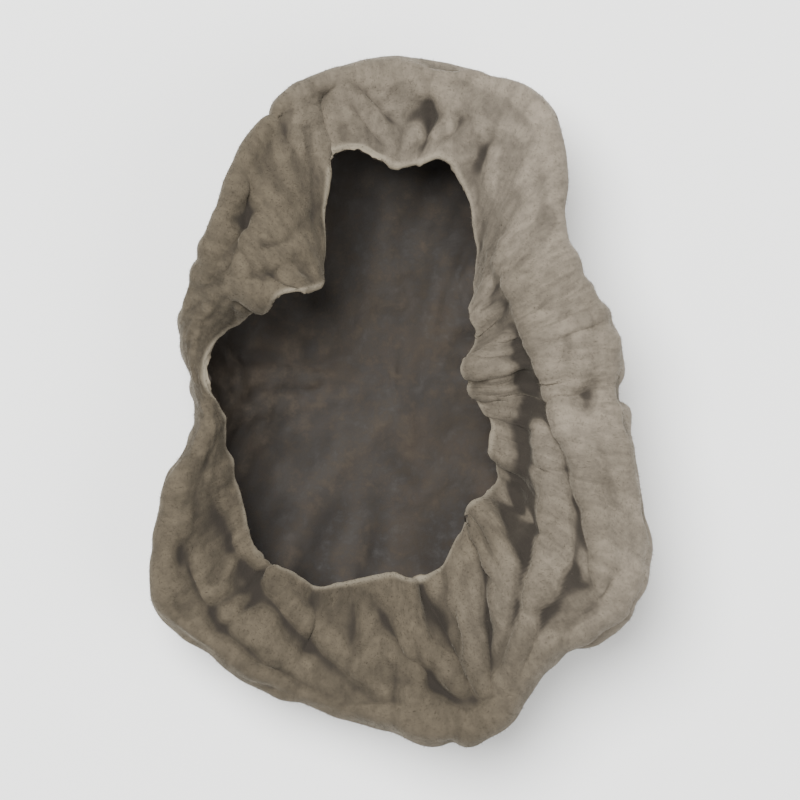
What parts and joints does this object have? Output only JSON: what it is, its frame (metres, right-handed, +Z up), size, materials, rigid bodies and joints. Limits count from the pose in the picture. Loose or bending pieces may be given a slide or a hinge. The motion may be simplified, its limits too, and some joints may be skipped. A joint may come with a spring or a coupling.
{
  "type": "dried wood ear mushroom",
  "caption": "Single dried wood ear mushroom, a thin leathery cupped sheet with a felted grey-brown back, a dark smooth hollow and margins that roll inwards in pleats.",
  "frame": {"origin": "middle of the bounding box at the level of the surface that the ear lies on", "axes": "+Y from the pointed lip of the ear towards its broad end, +X towards its wide rolled margin, +Z up, out of the hollow"},
  "size_m": [0.0262, 0.0362, 0.0101],
  "materials": {
    "dried_fungus": "matt felted back, smooth satin inner face"
  },
  "bodies": {
    "root": {"ear": "dried_fungus"}
  },
  "joints": []
}
